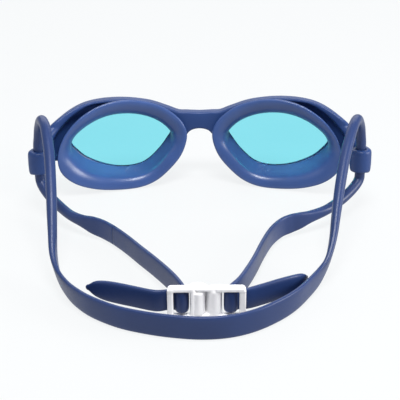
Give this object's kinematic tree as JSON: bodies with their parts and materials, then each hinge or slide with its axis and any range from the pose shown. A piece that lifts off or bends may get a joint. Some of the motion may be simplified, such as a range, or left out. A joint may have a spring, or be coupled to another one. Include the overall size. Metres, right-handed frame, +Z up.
{
  "type": "swim goggles",
  "caption": "One-piece silicone swim goggles with tinted wrap-round lenses, cupped face seals, and a looped head strap joined by a hooked clip.",
  "frame": {"origin": "centre of the footprint on the table that the goggles stand on", "axes": "+X to the wearer's right (the long way across the frame), +Y the way the wearer looks, +Z up"},
  "size_m": [0.162, 0.1578, 0.052],
  "materials": {
    "frame_silicone": "satin",
    "seal_silicone": "satin",
    "strap_silicone": "satin",
    "lens_tint": "clear gloss",
    "ring_plastic": "satin",
    "clip_plastic": "satin"
  },
  "bodies": {
    "frame": {"outer_frame": "frame_silicone", "left_face_seal": "seal_silicone", "right_face_seal": "seal_silicone", "left_lens": "lens_tint", "right_lens": "lens_tint", "left_lens_ring": "ring_plastic", "right_lens_ring": "ring_plastic", "left_strap_core": "strap_silicone", "right_strap_core": "strap_silicone"},
    "rear_strap": {"rear_strap": "strap_silicone"},
    "left_strap": {"left_lower_strap": "strap_silicone"},
    "right_strap": {"right_lower_strap": "strap_silicone", "right_strap_tail": "strap_silicone"},
    "left_clip": {"clip_post_half": "clip_plastic", "left_strap_tail": "strap_silicone"},
    "right_clip": {"clip_hook_half": "clip_plastic"}
  },
  "joints": [
    {"name": "rear_strap_swing", "type": "hinge", "parent": "frame", "child": "rear_strap", "pos_m": [0, 0.0366, 0.0332], "axis": [1, 0, 0], "range_deg": [-50, 0]},
    {"name": "left_lower_swing", "type": "hinge", "parent": "frame", "child": "left_strap", "pos_m": [0, 0.0344, 0.0169], "axis": [1, 0, 0], "range_deg": [-25, 0]},
    {"name": "right_lower_swing", "type": "hinge", "parent": "frame", "child": "right_strap", "pos_m": [0, 0.0344, 0.0169], "axis": [1, 0, 0], "range_deg": [-25, 0]},
    {"name": "clip_post_release", "type": "hinge", "parent": "left_strap", "child": "left_clip", "pos_m": [-0.0082, -0.0538, 0.0073], "axis": [0, 0, 1], "range_deg": [-40, 0]},
    {"name": "clip_hook_release", "type": "hinge", "parent": "right_strap", "child": "right_clip", "pos_m": [0.012, -0.061, 0.00725], "axis": [0, 0, 1], "range_deg": [-20, 0]}
  ],
  "couplings": [
    {"joint": "right_lower_swing", "follows": "left_lower_swing", "ratio": 1}
  ]
}
